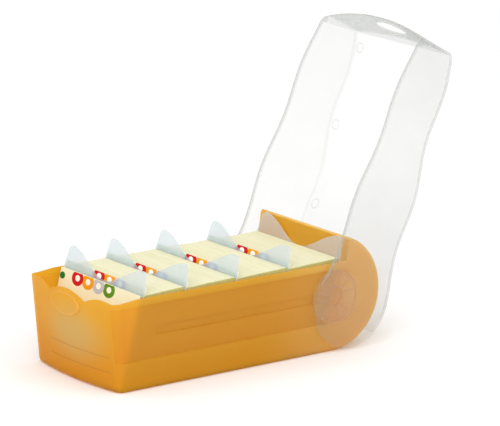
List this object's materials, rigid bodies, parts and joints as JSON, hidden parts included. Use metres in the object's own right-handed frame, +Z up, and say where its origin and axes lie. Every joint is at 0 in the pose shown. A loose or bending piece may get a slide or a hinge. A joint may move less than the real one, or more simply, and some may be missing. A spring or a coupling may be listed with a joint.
{
  "type": "index card box",
  "caption": "Translucent index card box: open tray with a half-round rear end, a wavy swing lid turned about it, tabbed divider plates and leaning cards.",
  "frame": {"origin": "centre of the tray's flat underside, on the surface the box stands on", "axes": "+X towards the round rear end that the lid turns about, +Y across the box, +Z up"},
  "size_m": [0.3175, 0.1204, 0.2397],
  "materials": {
    "tray_plastic": "translucent orange moulded plastic, satin",
    "lid_plastic": "milky clear moulded plastic, satin",
    "divider_plastic": "frosted clear plastic sheet",
    "card": "uncoated cream card",
    "front_card": "uncoated cream card with plain colour marks"
  },
  "bodies": {
    "tray": {"tray": "tray_plastic"},
    "lid": {"lid": "lid_plastic", "hub_disc_near": "lid_plastic", "hub_disc_far": "lid_plastic"},
    "divider_1": {"divider_1": "divider_plastic"},
    "divider_2": {"divider_2": "divider_plastic"},
    "divider_3": {"divider_3": "divider_plastic"},
    "divider_4": {"divider_4": "divider_plastic"},
    "divider_5": {"divider_5": "divider_plastic"},
    "card_section_0": {"front_card_0": "front_card", "cards_0": "card"},
    "card_section_1": {"front_card_1": "front_card", "cards_1a": "card", "cards_1b": "card"},
    "card_section_2": {"front_card_2": "front_card", "cards_2a": "card", "cards_2b": "card"},
    "card_section_3": {"front_card_3": "front_card", "cards_3a": "card", "cards_3b": "card"},
    "card_section_4": {"front_card_4": "front_card", "cards_4a": "card", "cards_4b": "card"}
  },
  "joints": [
    {"name": "lid_swing", "type": "hinge", "parent": "tray", "child": "lid", "pos_m": [0.098, 0, 0.0432], "axis": [0, 1, 0], "range_deg": [-109.5, 70.5]},
    {"name": "divider_1_lift", "type": "slide", "parent": "tray", "child": "divider_1", "axis": [0.2588, 0, 0.9659], "range_m": [0, 0.09]},
    {"name": "divider_2_lift", "type": "slide", "parent": "tray", "child": "divider_2", "axis": [0.2588, 0, 0.9659], "range_m": [0, 0.09]},
    {"name": "divider_3_lift", "type": "slide", "parent": "tray", "child": "divider_3", "axis": [0.2588, 0, 0.9659], "range_m": [0, 0.09]},
    {"name": "divider_4_lift", "type": "slide", "parent": "tray", "child": "divider_4", "axis": [0.2588, 0, 0.9659], "range_m": [0, 0.09]},
    {"name": "divider_5_lift", "type": "slide", "parent": "tray", "child": "divider_5", "axis": [0.2588, 0, 0.9659], "range_m": [0, 0.09]},
    {"name": "card_section_0_lift", "type": "slide", "parent": "tray", "child": "card_section_0", "axis": [0.2588, 0, 0.9659], "range_m": [0, 0.08]},
    {"name": "card_section_1_lift", "type": "slide", "parent": "tray", "child": "card_section_1", "axis": [0.2588, 0, 0.9659], "range_m": [0, 0.08]},
    {"name": "card_section_2_lift", "type": "slide", "parent": "tray", "child": "card_section_2", "axis": [0.2588, 0, 0.9659], "range_m": [0, 0.08]},
    {"name": "card_section_3_lift", "type": "slide", "parent": "tray", "child": "card_section_3", "axis": [0.2588, 0, 0.9659], "range_m": [0, 0.08]},
    {"name": "card_section_4_lift", "type": "slide", "parent": "tray", "child": "card_section_4", "axis": [0.2588, 0, 0.9659], "range_m": [0, 0.08]}
  ]
}
